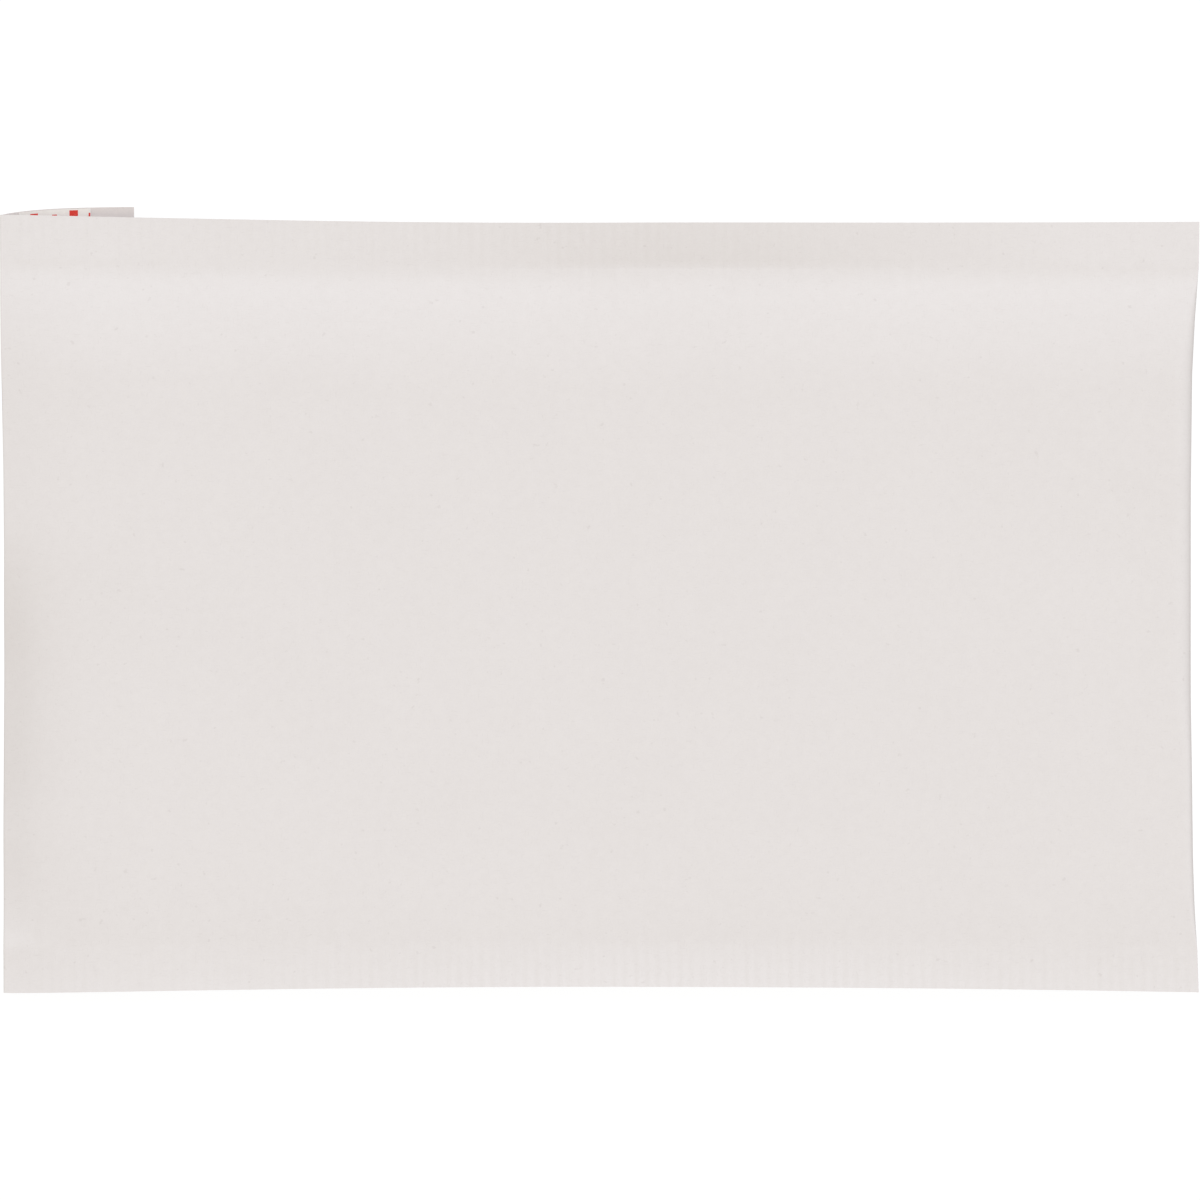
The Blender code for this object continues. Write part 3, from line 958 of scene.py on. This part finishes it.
def principled(name, colour, roughness, specular):
    """A material whose shader has these values, with its node tree and shader."""
    material = bpy.data.materials.new(name)
    material.use_nodes = True
    tree = material.node_tree
    shader = tree.nodes["Principled BSDF"]
    shader.inputs["Base Color"].default_value = (*colour, 1.0)
    shader.inputs["Roughness"].default_value = roughness
    shader.inputs["Specular IOR Level"].default_value = specular
    return material, tree, shader


def noise(tree, source, scale, detail, stretch=(1.0, 1.0, 1.0), turn=0.0):
    """A noise texture in the object's own coordinates."""
    mapping = new_node(tree, "ShaderNodeMapping", {"Scale": stretch, "Rotation": (0.0, 0.0, turn)})
    texture = new_node(tree, "ShaderNodeTexNoise", {"Scale": scale, "Detail": detail})
    tree.links.new(source.outputs["Object"], mapping.inputs["Vector"])
    tree.links.new(mapping.outputs["Vector"], texture.inputs["Vector"])
    return texture.outputs["Fac"]


def ranged(tree, value, span, to=(0.0, 1.0)):
    """Stretch a value's span to another one."""
    values = {"From Min": span[0], "From Max": span[1], "To Min": to[0], "To Max": to[1]}
    node = new_node(tree, "ShaderNodeMapRange", values)
    tree.links.new(value, node.inputs["Value"])
    return node.outputs["Result"]


def maths(tree, operation, one, other):
    """Join two values."""
    node = tree.nodes.new("ShaderNodeMath")
    node.operation = operation
    for socket, value in zip(node.inputs, (one, other)):
        if isinstance(value, (int, float)):
            socket.default_value = value
        else:
            tree.links.new(value, socket)
    return node.outputs["Value"]


def total(tree, values):
    """The sum of several values."""
    result, *others = values
    for value in others:
        result = maths(tree, "ADD", result, value)
    return result


def coloured(tree, shader, factor, tones):
    """Let a factor vary the shader's colour between two tones. A colour mix has its factor in
    socket 0, its colours in sockets 6 and 7, and its result in output 2."""
    node = tree.nodes.new("ShaderNodeMix")
    node.data_type = "RGBA"
    for number, tone in zip((6, 7), tones):
        node.inputs[number].default_value = (*tone, 1.0)
    tree.links.new(factor, node.inputs[0])
    tree.links.new(node.outputs[2], shader.inputs["Base Color"])


def roughened(tree, shader, value, to):
    """Let a noise vary the shader's roughness."""
    tree.links.new(ranged(tree, value, NOISE_SPAN, to), shader.inputs["Roughness"])


def bumped(tree, shader, height, distance):
    """Let a height value move the shader's normal."""
    bump = new_node(tree, "ShaderNodeBump", {"Strength": 1.0, "Distance": distance})
    tree.links.new(height, bump.inputs["Height"])
    tree.links.new(bump.outputs["Normal"], shader.inputs["Normal"])


def paper_look(name, tones):
    """Matt white paper: cloudy and mottled, with fine grain, short darker fibres and a few specks."""
    material, tree, shader = principled(name, tones[0], roughness=0.78, specular=0.25)
    source = tree.nodes.new("ShaderNodeTexCoord")
    cloud = noise(tree, source, scale=45.0, detail=3.0)
    mottle = noise(tree, source, scale=330.0, detail=2.0)
    specks = ranged(tree, noise(tree, source, scale=430.0, detail=2.0), SPECK_SPAN)
    grain = noise(tree, source, scale=1500.0, detail=4.0)
    one_way = noise(tree, source, scale=1.0, detail=2.0, stretch=(420.0, 2300.0, 900.0), turn=0.35)
    other_way = noise(tree, source, scale=1.0, detail=2.0, stretch=(2300.0, 420.0, 900.0), turn=-0.2)
    one_way = ranged(tree, one_way, FIBRE_SPAN)
    other_way = ranged(tree, other_way, CROSS_FIBRE_SPAN)
    fibres = maths(tree, "MAXIMUM", one_way, other_way)
    depth = total(tree, (
        maths(tree, "MULTIPLY", fibres, FIBRE_DEPTH),
        ranged(tree, grain, NOISE_SPAN, GRAIN_DEPTH),
        ranged(tree, mottle, NOISE_SPAN, MOTTLE_DEPTH),
        ranged(tree, cloud, CLOUD_SPAN, CLOUD_DEPTH),
        maths(tree, "MULTIPLY", specks, SPECK_DEPTH),
    ))
    coloured(tree, shader, depth, tones)
    roughened(tree, shader, grain, (0.72, 0.84))
    cockle = noise(tree, source, scale=210.0, detail=2.0)
    height = total(tree, (
        maths(tree, "MULTIPLY", grain, GRAIN_RELIEF),
        maths(tree, "MULTIPLY", fibres, FIBRE_RELIEF),
        maths(tree, "MULTIPLY", cockle, COCKLE_RELIEF),
    ))
    bumped(tree, shader, height, PAPER_RELIEF)
    return material


def liner_look():
    """Smooth siliconed paper."""
    material, tree, shader = principled("liner_paper", LINER_COLOUR, roughness=0.42, specular=0.4)
    source = tree.nodes.new("ShaderNodeTexCoord")
    grain = noise(tree, source, scale=700.0, detail=3.0)
    coloured(tree, shader, ranged(tree, grain, NOISE_SPAN), LINER_TONES)
    roughened(tree, shader, grain, (0.36, 0.48))
    bumped(tree, shader, grain, LINER_RELIEF)
    return material


def ink_look():
    """Flat red print, slightly worn where it is thin."""
    material, tree, shader = principled("liner_print", INK_TONES[0], roughness=0.5, specular=0.3)
    source = tree.nodes.new("ShaderNodeTexCoord")
    wear = ranged(tree, noise(tree, source, scale=2600.0, detail=2.0), WEAR_SPAN)
    coloured(tree, shader, wear, INK_TONES)
    return material


def glue_look():
    """Pale hot melt, drawn out in streaks along the flap."""
    material, tree, shader = principled("adhesive", GLUE_COLOUR, roughness=0.28, specular=0.5)
    source = tree.nodes.new("ShaderNodeTexCoord")
    streak = noise(tree, source, scale=1.0, detail=3.0, stretch=(900.0, 60.0, 60.0))
    coloured(tree, shader, ranged(tree, streak, NOISE_SPAN), GLUE_TONES)
    roughened(tree, shader, streak, (0.2, 0.4))
    bumped(tree, shader, streak, GLUE_RELIEF)
    return material


def film_look():
    """Clear bubble film with a faint haze."""
    material, tree, shader = principled("bubble_film", FILM_COLOUR, roughness=0.25, specular=0.5)
    shader.inputs["Transmission Weight"].default_value = 0.6
    shader.inputs["IOR"].default_value = 1.5
    source = tree.nodes.new("ShaderNodeTexCoord")
    haze = noise(tree, source, scale=120.0, detail=3.0)
    roughened(tree, shader, haze, (0.18, 0.34))
    bumped(tree, shader, haze, FILM_RELIEF)
    return material


def light_path(tree):
    """1 for rays that should see the white background, and 0 for the light that falls on things."""
    path = tree.nodes.new("ShaderNodeLightPath")
    seen = maths(tree, "MAXIMUM", path.outputs["Is Camera Ray"], path.outputs["Is Glossy Ray"])
    return maths(tree, "MAXIMUM", seen, path.outputs["Is Transmission Ray"])


def blended(tree, output_kind, lighting, shown):
    """Put out two shaders: one that lights things, and one that is seen."""
    output = tree.nodes.new(output_kind)
    mix = tree.nodes.new("ShaderNodeMixShader")
    tree.links.new(light_path(tree), mix.inputs[0])
    tree.links.new(lighting.outputs[0], mix.inputs[1])
    tree.links.new(shown.outputs[0], mix.inputs[2])
    tree.links.new(mix.outputs[0], output.inputs["Surface"])


def floor_look():
    """White where it is seen, with a faint contact shadow, and grey for the light it throws back."""
    material = bpy.data.materials.new("floor")
    material.use_nodes = True
    tree = material.node_tree
    tree.nodes.clear()
    glow = new_node(tree, "ShaderNodeEmission", {"Strength": FLOOR_GLOW})
    faint = new_node(tree, "ShaderNodeBsdfDiffuse", {"Color": FLOOR_FAINT})
    grey = new_node(tree, "ShaderNodeBsdfDiffuse", {"Color": FLOOR_GREY})
    shown = tree.nodes.new("ShaderNodeAddShader")
    tree.links.new(glow.outputs[0], shown.inputs[0])
    tree.links.new(faint.outputs[0], shown.inputs[1])
    blended(tree, "ShaderNodeOutputMaterial", grey, shown)
    return material


def floor_and_light():
    """Plain pale floor, soft studio light and the background that the camera sees."""
    mesh = bpy.data.meshes.new("floor")
    near = -FLOOR_HALF
    far = FLOOR_HALF
    corners = [(near, near, 0), (far, near, 0), (far, far, 0), (near, far, 0)]
    mesh.from_pydata(corners, [], [(0, 1, 2, 3)])
    mesh.materials.append(floor_look())
    floor = bpy.data.objects.new("floor", mesh)
    bpy.context.scene.collection.objects.link(floor)
    floor.location.z = -FLOOR_DROP

    world = bpy.data.worlds.new("studio")
    bpy.context.scene.world = world
    world.use_nodes = True
    tree = world.node_tree
    tree.nodes.clear()
    sky = {"Color": WORLD_COLOUR, "Strength": WORLD_STRENGTH}
    lit = new_node(tree, "ShaderNodeBackground", sky)
    white = new_node(tree, "ShaderNodeBackground", {"Color": WHITE})
    blended(tree, "ShaderNodeOutputWorld", lit, white)

    lamp = bpy.data.lights.new("key", "SUN")
    lamp.energy = KEY_STRENGTH
    lamp.color = KEY_COLOUR
    lamp.angle = KEY_ANGLE
    key = bpy.data.objects.new("key", lamp)
    bpy.context.scene.collection.objects.link(key)
    key.location = KEY_FROM
    key.rotation_mode = "QUATERNION"
    key.rotation_quaternion = key.location.to_track_quat("Z", "Y")


def camera():
    """Straight above the mailer with a long lens, framed as in the photograph."""
    data = bpy.data.cameras.new("camera")
    data.lens = LENS
    data.sensor_width = SENSOR
    distance = FRAME_WIDTH / 2 / (SENSOR / 2 / LENS)
    data.clip_end = CLIP_END
    eye = bpy.data.objects.new("camera", data)
    bpy.context.scene.collection.objects.link(eye)
    eye.location = (0.0, 0.0, FRAME_PLANE + distance)
    bpy.context.scene.camera = eye


def main():
    """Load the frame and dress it."""
    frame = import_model()
    bpy.context.scene.view_settings.view_transform = "Standard"
    camera()
    # The inside paper is pinker than the outside and darker with painted shade.
    wrapper_paper(paper_look("paper", PAPER_TONES), paper_look("paper_inside_shaded", INSIDE_SHADED_TONES))
    release_liner(liner_look(), ink_look())
    bubble_web(film_look())
    frame["nodes"]["adhesive_strip"].material_slots[0].material = glue_look()
    floor_and_light()


main()
